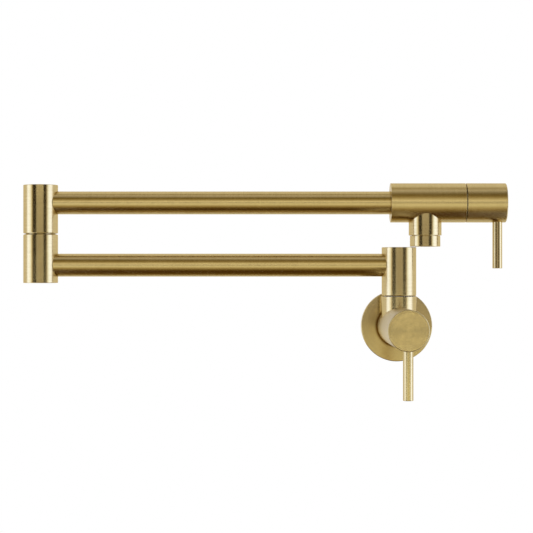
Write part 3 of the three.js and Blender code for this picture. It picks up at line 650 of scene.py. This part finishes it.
# Speckled finishes: spread, scale in grains to a metre, roughness, depth, and whether they are cells.
SPECKLES = {
    "ceramic": (0.08, 2500.0, 0.18, 0.000002),
    "rubber": (0.7, 3000.0, 0.55, 0.00001),
    "foam": (0.8, 1800.0, 0.8, 0.0002, True),
    "nylon": (0.1, 1500.0, 0.38, 0.000006),
    "clear_plastic": (0.12, 900.0, 0.22, 0.000004),
}


def plain(slot):
    """The finish of a slot that has no direction of its own."""
    make = (speckled, slot, *SPECKLES[slot]) if slot in SPECKLES else (steel,)
    return remember(slot, *make)


# ---- Operators: one for each piece or group of like pieces


class PieceOperator:
    """Hands the scene's sizes to make()."""

    bl_options = {"REGISTER", "UNDO"}

    def execute(self, context):
        self.make(context.scene.pot_filler_sizes)
        return {"FINISHED"}


class POTFILLER_OT_escutcheon(PieceOperator, Operator):
    """Makes the round wall plate and the foam gasket in its hollow back"""

    bl_idname = "potfiller.escutcheon"
    bl_label = "Escutcheon and gasket"

    def make(self, sizes):
        radius, depth = sizes.escutcheon_radius, sizes.escutcheon_depth
        inner, hole, thick, edge = radius - 0.0036, 0.0112, 0.0025, 0.0003
        back = depth - thick
        front = (radius, depth, 0.0007), (hole, depth, SMALL_EDGE)
        plate = ring((inner, 0, edge), (radius, 0, edge), *front, (hole, back), (inner, back))
        piece("escutcheon", [plate], WALL_VALVE, [satin("escutcheon")])
        hole, outer, height, edge = 0.012, inner - 0.0003, 0.0052, 0.0006
        foam = ring((hole, 0, edge), (outer, 0, edge), (outer, height, edge), (hole, height, edge))
        piece("escutcheon_gasket", [foam], WALL_VALVE, [plain("foam")])


class POTFILLER_OT_inlet_nipple(PieceOperator, Operator):
    """Makes the threaded inlet nipple with its hexagonal bore"""

    bl_idname = "potfiller.inlet_nipple"
    bl_label = "Inlet nipple"

    def make(self, sizes):
        behind, thread_end, inside = -0.022, -0.003, 0.02
        mouth, narrow, wide = 0.0074, 0.0099, 0.01045  # radii of the mouth and of the taper's two ends
        chamfer, step = 0.0008, 0.0003
        tip = outline((mouth, behind), (0.0093, behind, SMALL_EDGE), (narrow, behind + chamfer))
        rows = np.linspace(behind + chamfer, thread_end, 92)[:, None]
        taper = narrow + (rows - rows[0]) / (rows[-1] - rows[0]) * (wide - narrow)
        shape = np.concatenate([taper, rows], -1)
        thread = helix(shape, sizes.thread_pitch, sizes.thread_depth, 0.0014, NIPPLE_SIDES)
        shank = outline((wide, thread_end), (wide, inside, 0.0004), (mouth, inside))
        bore = np.stack([hexagon(0.012, h, NIPPLE_SIDES) for h in (inside - step, behind + step)])
        front_edge = np.stack([lathe(shank[-1:], NIPPLE_SIDES)[0], bore[0]])
        rear_edge = np.stack([bore[1], lathe(tip[:1], NIPPLE_SIDES)[0]])
        turned = [lathe(tip, NIPPLE_SIDES), thread, lathe(shank, NIPPLE_SIDES)]
        patches = [*turned, front_edge, bore, rear_edge]
        piece("inlet_nipple", patches, WALL_VALVE, [raw("wall_valve")])


class POTFILLER_OT_wall_valve_body(PieceOperator, Operator):
    """Makes the wall valve's body with the neck that carries the shoulder"""

    bl_idname = "potfiller.wall_valve_body"
    bl_label = "Wall valve body"

    def make(self, sizes):
        neck, recess = sizes.neck_radius, 0.0126
        top, ledge, floor = 0.02525, 0.02455, 0.013  # distances from the valve's axis
        branch = Bore(neck, -ARM_Y, 1, 56)
        socket = (0.0107, 0.0224, 0.0083, SMALL_EDGE)
        seats, band = (0.052, 0.0758), (0.0145, 0.0455)
        turned = bored_body(sizes, socket, seats, WALL_END, branch, *band)
        rim = outline((neck, 0), (neck, top, 0.0003), (recess, top, 0.0001), (recess, ledge))
        hollow = (SPINDLE_BORE, ledge), (SPINDLE_BORE, floor), (0, floor)
        upright = branch.wall((neck, sizes.valve_radius, True), *rim[1:], *hollow)
        finishes = [satin("wall_side"), satin("shoulder")]
        piece("wall_valve_body", [*turned, (upright, 1)], WALL_VALVE, finishes)


class POTFILLER_OT_spout_valve_body(PieceOperator, Operator):
    """Makes the spout valve's body with its outlet collar"""

    bl_idname = "potfiller.spout_valve_body"
    bl_label = "Spout valve body"

    def make(self, sizes):
        collar, recess, bore = sizes.collar_radius, 0.0111, 0.007
        end, ledge, floor = 0.02705, 0.0207, 0.0102  # distances from the valve's axis
        branch = Bore(collar, OUTLET_X - SPOUT_LEFT, 3, 50)
        socket = (sizes.tube_radius + FIT, 0.014, 0, 0.00008)
        seats, band = (0.0237, 0.0475), (0.0143, 0.0435)
        turned = bored_body(sizes, socket, seats, SPOUT_END, branch, *band)
        rim = outline((collar, 0), (collar, end, 0.0003), (recess, end), (recess, ledge))
        hollow = (bore, ledge), (bore, floor), (0, floor)
        outlet = branch.wall((collar, sizes.valve_radius, True), *rim[1:], *hollow)
        finishes = [satin("upper_line"), satin("outlet")]
        piece("spout_valve_body", [*turned, (outlet, 1)], SPOUT_VALVE, finishes)


class POTFILLER_OT_handle_hubs(PieceOperator, Operator):
    """Makes the two handle hubs, each with the pocket for its lever and the hole for its set screw"""

    bl_idname = "potfiller.handle_hubs"
    bl_label = "Handle hubs"

    def make(self, sizes):
        radius, edge = sizes.valve_radius, sizes.valve_edge
        stem, hollow, hole, pin = 0.00415, 0.0139, 0.0023, 0.00315  # radii of the bores
        screw_half, lever_half = 0.0036, 0.0052  # from a bore's axis to the end of its window
        hole_floor, ledge, pin_floor = 0.0045, 0.0149, 0.0056  # distances from the valve's axis
        for name, (place, end) in VALVES.items():
            rear = end + HUB_GAP
            front = rear + HUB_LENGTH
            screw_at, lever_at = front - SCREW_FROM_FRONT, front - LEVER_FROM_FRONT
            low, high = screw_at - screw_half, lever_at + lever_half
            between = (screw_at + lever_at) / 2 - 0.0008
            screw = Bore(hole, screw_at, 0, 14)
            lever = Bore(sizes.lever_radius + 0.00015, lever_at, 3, 20)
            floor, step = front - 0.0096, front - 0.0196
            inside = (0, floor), (stem, floor), (stem, step), (hollow, step), (hollow, rear, SMALL_EDGE)
            cup = outline(*inside, (radius, rear, edge), (radius, low))
            face = outline((radius, high), (radius, front, sizes.hub_edge), (0, front))
            bands = [*screw.band(radius, low, between, 6), *lever.band(radius, between, high, 8)]
            screw_hole = screw.wall((hole, radius, True), (hole, hole_floor), (0, hole_floor))
            mouth = (lever.radius, radius, True), (lever.radius, ledge)
            pocket = lever.wall(*mouth, (pin, ledge), (pin, pin_floor), (0, pin_floor))
            finishes = [satin(where) for where in HUB_MARKS[name]]
            front_disc = (lathe(face[-2:]), len(finishes) - 1)
            patches = [lathe(cup), *bands, lathe(face[:-1]), front_disc, screw_hole, pocket]
            piece(name + "_handle_hub", patches, place, finishes)


class POTFILLER_OT_handle_levers(PieceOperator, Operator):
    """Makes the two rod levers"""

    bl_idname = "potfiller.handle_levers"
    bl_label = "Handle levers"

    def make(self, sizes):
        radius, pin = sizes.lever_radius, 0.0029
        start, step, end = 0.006, 0.0152, 0.0544  # distances from the valve's axis
        thin, thick = ((pin, start, 0.0003), (pin, step)), ((radius, step, 0.0001), (radius, end, 0.0004))
        rod = outline((0, start), *thin, *thick, (0, end))
        for name, (place, hub_from) in VALVES.items():
            side, up, _ = place.axes
            hinge = place.world(np.array([0, 0, hub_from + LEVER_AT]))
            rod_place = Place(hinge, side, np.cross(-up, side), -up)
            finishes = [satin(name + "_lever")]
            piece(name + "_handle_lever", [lathe(rod, ROD_SIDES)], rod_place, finishes)


class POTFILLER_OT_swivel_sleeves(PieceOperator, Operator):
    """Makes the three swivel sleeves, each bored across for its tube"""

    bl_idname = "potfiller.swivel_sleeves"
    bl_label = "Swivel sleeves"

    def make(self, sizes):
        radius, height, hollow = sizes.sleeve_radius, sizes.sleeve_height, SLEEVE_HOLLOW
        low, high = SLEEVE_LEDGE, 0.0362
        for node, _, place, bore, quarter, where in SLEEVES:
            socket = Bore(sizes.tube_radius + FIT, TUBE_HEIGHT, quarter, 44)
            joint = (bore, 0, 0.0003), (radius, 0, sizes.joint_edge)
            foot = outline((hollow, low), (bore, low), *joint, (radius, low))
            end = (radius, height, 0.0004), (hollow, height, 0.0001)
            head = outline((radius, high), *end, (hollow, high))
            outer = socket.band(radius, low, high)
            inner = socket.band(hollow, low, high)
            hole = socket.wall((socket.radius, radius, True), (socket.radius, hollow, True))
            patches = [lathe(foot), *outer, lathe(head), *inner, hole]
            piece(node, patches, place, [satin(where)])


class POTFILLER_OT_sleeve_caps(PieceOperator, Operator):
    """Makes the three caps that close the sleeves' bored ends"""

    bl_idname = "potfiller.sleeve_caps"
    bl_label = "Sleeve caps"

    def make(self, sizes):
        radius, top, edge = sizes.cap_radius, sizes.sleeve_height, SMALL_EDGE
        bottom = top - 0.0036
        cap = outline((0, bottom), (radius, bottom, edge), (radius, top, edge), (0, top))
        for _, node, place, _, _, where in SLEEVES:
            piece(node, [lathe(cap)], place, [satin(where)])


class POTFILLER_OT_joint_rings(PieceOperator, Operator):
    """Makes the elbow's spacer ring and the shoulder's slip washer"""

    bl_idname = "potfiller.joint_rings"
    bl_label = "Joint rings"

    def make(self, sizes):
        rows = (
            ("elbow_spacer_ring", ELBOW_UPPER, 0.01235, 0.0005, satin("elbow"), "satin_brass"),
            ("shoulder_slip_washer", SHOULDER, 0.0124, 0.0009, plain("nylon"), "nylon"),
        )
        top = -0.0001
        for node, place, outer, thick, finish, slot in rows:
            low, r, inner = top - thick, thick / 5, SPINDLE_BORE
            band = ring((inner, low, r), (outer, low, r), (outer, top, r), (inner, top, r))
            piece(node, [band], place, [finish])


class POTFILLER_OT_arm_tubes(PieceOperator, Operator):
    """Makes the two straight arm tubes"""

    bl_idname = "potfiller.arm_tubes"
    bl_label = "Arm tubes"

    def make(self, sizes):
        outer = sizes.tube_radius
        inner = outer - sizes.tube_wall
        left, margin, edge = ELBOW_X + TUBE_IN_SLEEVE, 0.001, 0.0003
        rows = (
            ("lower_arm_tube", LOWER_TUBE, -TUBE_IN_SLEEVE, "lower_line"),
            ("upper_arm_tube", UPPER_TUBE, SPOUT_LEFT + 0.0137, "upper_line"),
        )
        for node, place, right, where in rows:
            stations = np.linspace(left + margin, right - margin, 24)
            skin = np.stack([np.full_like(stations, outer), stations], -1)
            left_end = outline((inner, right), (inner, left), (outer, left, edge), (outer, left + margin))
            right_end = outline((outer, right - margin), (outer, right, edge), (inner, right))
            wall = np.concatenate([left_end, skin[1:-1], right_end])
            piece(node, [lathe(wall)], place, [satin(where)])


class POTFILLER_OT_aerator(PieceOperator, Operator):
    """Makes the aerator's housing"""

    bl_idname = "potfiller.aerator"
    bl_label = "Aerator"

    def make(self, sizes):
        radius, mouth, neck, hollow = sizes.aerator_radius, 0.0086, 0.0108, 0.0096
        lip, band, top = 0.0022, 0.00895, 0.0144
        outside = (radius, 0, 0.0004), (radius, band, 0.0003), (neck, band), (neck, top, 0.0003)
        housing = ring((mouth, 0, SMALL_EDGE), *outside, (hollow, top), (hollow, lip), (mouth, lip))
        piece("aerator_housing", [housing], OUTLET, [satin("outlet")])


class POTFILLER_OT_inner_pieces(PieceOperator, Operator):
    """Gives the frame's own inner pieces their finishes"""

    bl_idname = "potfiller.inner_pieces"
    bl_label = "Inner pieces"

    def make(self, sizes):
        words = {
            "rubber": ("o_ring", "seal", "aerator_washer"),
            "stainless_steel": ("clip", "screw", "screen"),
            "ceramic": ("disc",),
            "clear_plastic": ("insert",),
            "raw_brass": ("cartridge_body", "stem", "nut", "spindle"),
        }
        axes = {"wall": "wall_valve", "spout": "upper_line"}
        for name, node in frame["nodes"].items():
            if node.hide_render:
                continue
            found = [slot for slot, parts in words.items() if any(part in name for part in parts)]
            if not found:
                raise RuntimeError(f"{name} has no finish")
            where = name.split("_")[0]
            where = axes.get(where, where)
            finish = raw(where) if found[0] == "raw_brass" else plain(found[0])
            if not node.material_slots:
                node.data.materials.append(finish)
            for holder in node.material_slots:
                holder.material = finish


# ---- The stage

EYE = (-0.11, -1.3595, 0.0464)  # where the photograph was taken from
LENS = 108.1  # millimetres
FRAME = 36  # millimetres, the width of the camera's frame
SHIFT = 0.0084  # the horizon lies this far below the middle, as a share of the frame
MIDDLE = (-0.11, -0.03, 0.08)  # what the lights stand round
FLOOR_MIDDLE = (-0.11, -0.05)
FLOOR_RADIUS = 0.72
FLOOR_FADE = (0.42, 0.71)  # radii where the floor begins to fade out and where it is gone
FLOOR_SIDES = 96

LAMP_POWER = 4  # watts to a square metre of lamp at brightness 1
# Lamps: centre, height, width, turn about Y, and the stage's setting.
SOFT_BOXES = {
    "left": ((-1.05, -0.22, 0.08), 1.5, 0.62, -math.pi / 2, "left_light"),
    "right": ((1.35, -0.55, 0.08), 1.7, 1.04, math.pi / 2, "right_light"),
    "top": ((-0.11, -0.12, 1.35), 1.5, 0.4, 0.0, "top_light"),
}

# The tent that reflections see in front and above: elevation in degrees, and colour.
TENT = (
    (-118, 0.48, 0.33, 0.12), (-110, 0.36, 0.25, 0.08),
    (-102, 0.22, 0.14, 0.03), (-94, 0.13, 0.08, 0.01),
    (-82, 0.12, 0.06, 0.01), (-68, 0.08, 0.03, 0.0),
    (-58, 0.1, 0.05, 0.0), (-48, 0.22, 0.14, 0.02),
    (-38, 0.45, 0.34, 0.14), (-29, 0.7, 0.6, 0.36),
    (-20, 0.98, 0.94, 0.7), (-13, 1.22, 1.2, 0.95),
    (-6, 1.7, 1.65, 1.3), (-4, 0.47, 0.43, 0.38),
    (4.8, 0.47, 0.43, 0.38), (6.8, 1.75, 1.7, 1.35),
    (12, 1.25, 1.22, 0.98), (18, 0.9, 0.84, 0.6),
    (25, 0.66, 0.56, 0.33), (35, 0.36, 0.26, 0.08),
    (43, 0.22, 0.15, 0.03), (50, 0.26, 0.2, 0.07),
    (58, 0.44, 0.38, 0.26), (66, 0.66, 0.62, 0.55),
    (75, 0.88, 0.85, 0.82), (83, 0.6, 0.53, 0.4),
    (91, 0.42, 0.34, 0.18), (99, 0.68, 0.62, 0.46),
    (106, 0.95, 0.92, 0.84), (114, 1.0, 1.0, 1.0),
)
TENT_STEPS = 145
TENT_RADIUS = 3.3
TENT_HALF = (0.384, 0.2)  # half width of the tent in front and overhead, as a share of its distance
TENT_SIDES = (-0.31, 0.09)  # the object's ends along X, which the tent reaches past

# The wings beside it: azimuth in degrees from the front, and colour.
LEFT_WING = (
    (-97, 1.0, 1.0, 1.05), (-93, 1.45, 1.6, 2.2),
    (-85, 1.8, 2.1, 3.2), (-78, 1.85, 2.2, 3.4),
    (-68, 1.7, 1.95, 2.7), (-61, 1.5, 1.6, 1.8),
    (-56, 1.1, 1.05, 0.9), (-51, 0.5, 0.4, 0.2),
    (-46, 0.08, 0.05, 0.01), (-41, 0.02, 0.012, 0.0),
    (-12, 0.02, 0.012, 0.0),
)
RIGHT_WING = (
    (12, 0.02, 0.012, 0.0), (38, 0.02, 0.012, 0.0),
    (43, 0.15, 0.1, 0.04), (48.5, 0.7, 0.65, 0.5),
    (54, 1.3, 1.4, 1.6), (61, 1.7, 2.0, 2.8),
    (71, 1.85, 2.2, 3.5), (85, 1.8, 2.1, 3.2),
    (92, 1.5, 1.65, 2.3), (97, 1.1, 1.12, 1.2),
)
WING_NEAR = 0.6  # where a wing begins on the floor
WING_RADIUS = 3.6
WING_FADE = (1.9, 3.0)  # heights between which a wing grows faint
WING_FAINT = 0.2
WING_TOP = 9.0

# A low pale strip before the wings, which the wall lever mirrors.
STRIP = (
    (-56, 1.5, 1.6, 1.8), (-10, 1.35, 1.4, 1.2),
    (-3, 1.1, 1.05, 0.7), (15, 1.1, 1.05, 0.7),
    (22, 1.35, 1.4, 1.2), (56, 1.5, 1.6, 1.8),
)
STRIP_NEAR = 2.0
STRIP_RADIUS = 3.0
STRIP_TOP = -0.158
UPRIGHT_STEPS = 60  # colours along a wing or the strip
CARD_LIFT = 0.02  # the tent's height above the floor, with the wings below it and the strip above


def card(name, edges, colours, shares=(1, 1)):
    """A card that only reflections see: a strip through two or more edges, whose colour changes along them.
    Each edge has its own share of the colours' brightness."""
    mesh = bpy.data.meshes.new(name)
    mesh.from_pydata(np.concatenate(edges), [], quads(len(edges), len(colours)))
    shades = np.ones((len(edges), len(colours), 4))
    shades[..., :3] = np.array(shares, float)[:, None, None] * colours
    mesh.color_attributes.new("shade", "FLOAT_COLOR", "POINT").data.foreach_set("color", shades.ravel())
    nodes = material(name)
    tint = nodes.add("ShaderNodeAttribute", attribute_name="shade")
    mesh.materials.append(nodes.close(nodes.add("ShaderNodeEmission", {"Color": tint})))
    made = placed(name, mesh)
    made.visible_camera = made.visible_diffuse = made.visible_shadow = False
    made.visible_transmission = made.visible_volume_scatter = False


def blended(stops, steps):
    """Angles and colours in even steps along a table of stops."""
    stops = np.array(stops)
    angles = np.linspace(stops[0, 0], stops[-1, 0], steps)
    colours = np.stack([np.interp(angles, stops[:, 0], stops[:, i]) for i in (1, 2, 3)], -1)
    return np.radians(angles), colours


class POTFILLER_OT_stage(Operator):
    """Makes the floor, the light and the camera"""

    bl_idname = "potfiller.stage"
    bl_label = "Stage"
    bl_options = {"REGISTER", "UNDO"}

    def execute(self, context):
        stage = context.scene.pot_filler_stage
        self.make_floor(stage)
        self.make_world(context.scene, stage)
        self.make_lamps(stage)
        self.make_tent(stage)
        self.make_camera(context.scene)
        context.scene.view_settings.view_transform = "Standard"
        return {"FINISHED"}

    def make_floor(self, stage):
        """A pale round floor that fades out at its rim and can be looked through from below."""
        middle = (*FLOOR_MIDDLE, stage.floor_height)
        number = np.arange(FLOOR_SIDES)
        rim = cylindrical(FLOOR_RADIUS, number * math.tau / FLOOR_SIDES, 0)
        faces = np.stack([number, (number + 1) % FLOOR_SIDES, np.full_like(number, FLOOR_SIDES)], -1)
        mesh = bpy.data.meshes.new("floor")
        mesh.from_pydata(np.concatenate([rim, np.zeros((1, 3))]) + middle, [], faces)
        nodes = material("floor")
        out = nodes.vector("LENGTH", nodes.vector("SUBTRACT", nodes.place(), middle), output="Value")
        edge = nodes.ramp(out, *FLOOR_FADE, interpolation_type="SMOOTHSTEP")
        under = nodes.add("ShaderNodeNewGeometry", output="Backfacing")
        pale = stage.floor_colour
        tint = nodes.mix(nodes.noise(nodes.place(), 40.0, 3.0), pale, shade(pale, 1.03))
        floor = nodes.add("ShaderNodeBsdfDiffuse", {"Color": tint})
        clear = nodes.add("ShaderNodeBsdfTransparent")
        gone = nodes.math("MAXIMUM", edge, under)
        mesh.materials.append(nodes.close(nodes.add("ShaderNodeMixShader", {0: gone, 1: floor, 2: clear})))
        made = placed("floor", mesh)

    def make_world(self, scene, stage):
        """White for the camera, in reflections and through glass, and a softer fill for all the rest."""
        world = bpy.data.worlds.new("studio")
        scene.world = world
        nodes = Nodes(world)
        camera, glossy, clear = (
            nodes.add("ShaderNodeLightPath", output=name)
            for name in ("Is Camera Ray", "Is Glossy Ray", "Is Transmission Ray")
        )
        seen = nodes.math("MINIMUM", camera + glossy + clear, 1.0)
        strength = seen * (1 - stage.fill) + stage.fill
        sky = nodes.add("ShaderNodeBackground", {"Color": (1, 1, 1, 1), "Strength": strength})
        nodes.close(sky, "World")

    def make_lamps(self, stage):
        """Soft boxes that light the floor and the pale pieces."""
        for name, (centre, height, width, turn, setting) in SOFT_BOXES.items():
            lamp = bpy.data.lights.new(name + "_soft_box", "AREA")
            lamp.shape = "RECTANGLE"
            lamp.size, lamp.size_y = height, width
            lamp.energy = LAMP_POWER * lamp.size * lamp.size_y * getattr(stage, setting)
            made = placed(lamp.name, lamp)
            made.location = centre
            made.rotation_euler = (0, turn, 0)
            made.visible_camera = made.visible_glossy = False

    def make_tent(self, stage):
        """What the metal mirrors: a graded tent in front and above, a strip before it, and two wings beside
        it that are dark inside and bright outside."""
        angle, colours = blended(TENT, TENT_STEPS)
        ground = stage.floor_height + CARD_LIFT
        low, down = MIDDLE[2] - ground, -np.sin(angle)
        reach = np.where(down > low / TENT_RADIUS, low / np.maximum(down, 0.05), TENT_RADIUS)
        y, z = MIDDLE[1] - reach * np.cos(angle), MIDDLE[2] - reach * down
        half = reach * np.maximum(TENT_HALF[0] * np.cos(angle), TENT_HALF[1])
        left, right = TENT_SIDES
        card("tent", [np.stack([x, y, z], -1) for x in (left - half, right + half)], colours)
        below, above = ground - CARD_LIFT / 4, ground + CARD_LIFT / 4
        # For each edge of an upright card: its distance, height and share of the brightness.
        wing_low = (WING_NEAR, below, 1), (WING_RADIUS, below, 1), (WING_RADIUS, WING_FADE[0], 1)
        wing_high = (WING_RADIUS, WING_FADE[1], WING_FAINT), (WING_RADIUS, WING_TOP, WING_FAINT)
        wing = wing_low + wing_high
        strip = (STRIP_NEAR, above, 1), (STRIP_RADIUS, above, 1), (STRIP_RADIUS, STRIP_TOP, 1)
        upright = ("left_wing", LEFT_WING, wing), ("right_wing", RIGHT_WING, wing), ("strip", STRIP, strip)
        for name, shades, steps in upright:
            angle, colours = blended(shades, UPRIGHT_STEPS)
            away = np.stack([np.sin(angle), -np.cos(angle), 0 * angle], -1)
            edges = [away * radius + (*MIDDLE[:2], height) for radius, height, _ in steps]
            card(name, edges, colours, [step[2] for step in steps])

    def make_camera(self, scene):
        data = bpy.data.cameras.new("camera")
        data.lens, data.sensor_width, data.shift_y = LENS, FRAME, SHIFT
        data.clip_start, data.clip_end = 0.05, 20
        made = placed("camera", data)
        made.location = EYE
        made.rotation_euler = (math.pi / 2, 0, 0)
        scene.camera = made


# ---- Panel and registration

STEPS = (*PieceOperator.__subclasses__(), POTFILLER_OT_stage)
GROUPS = {
    "pot_filler_sizes": PotFillerSizes,
    "pot_filler_finishes": PotFillerFinishes,
    "pot_filler_stage": PotFillerStage,
}


class POTFILLER_PT_panel(Panel):
    """The pot filler's sizes, finishes, light and pieces"""

    bl_idname = "POTFILLER_PT_panel"
    bl_label = "Pot filler"
    bl_space_type = "VIEW_3D"
    bl_region_type = "UI"
    bl_category = "Pot filler"

    def draw(self, context):
        for name, group in GROUPS.items():
            box = self.layout.box()
            for key in group.__annotations__:
                box.prop(getattr(context.scene, name), key)
        for step in STEPS:
            self.layout.operator(step.bl_idname)


def register():
    for group in (*GROUPS.values(), *STEPS, POTFILLER_PT_panel):
        bpy.utils.register_class(group)
    for name, group in GROUPS.items():
        setattr(bpy.types.Scene, name, PointerProperty(type=group))


def unregister():
    for name in GROUPS:
        delattr(bpy.types.Scene, name)
    for group in reversed((*GROUPS.values(), *STEPS, POTFILLER_PT_panel)):
        bpy.utils.unregister_class(group)


def main():
    register()
    for step in STEPS:
        family, name = step.bl_idname.split(".")
        getattr(getattr(bpy.ops, family), name)()


if __name__ == "__main__":
    main()
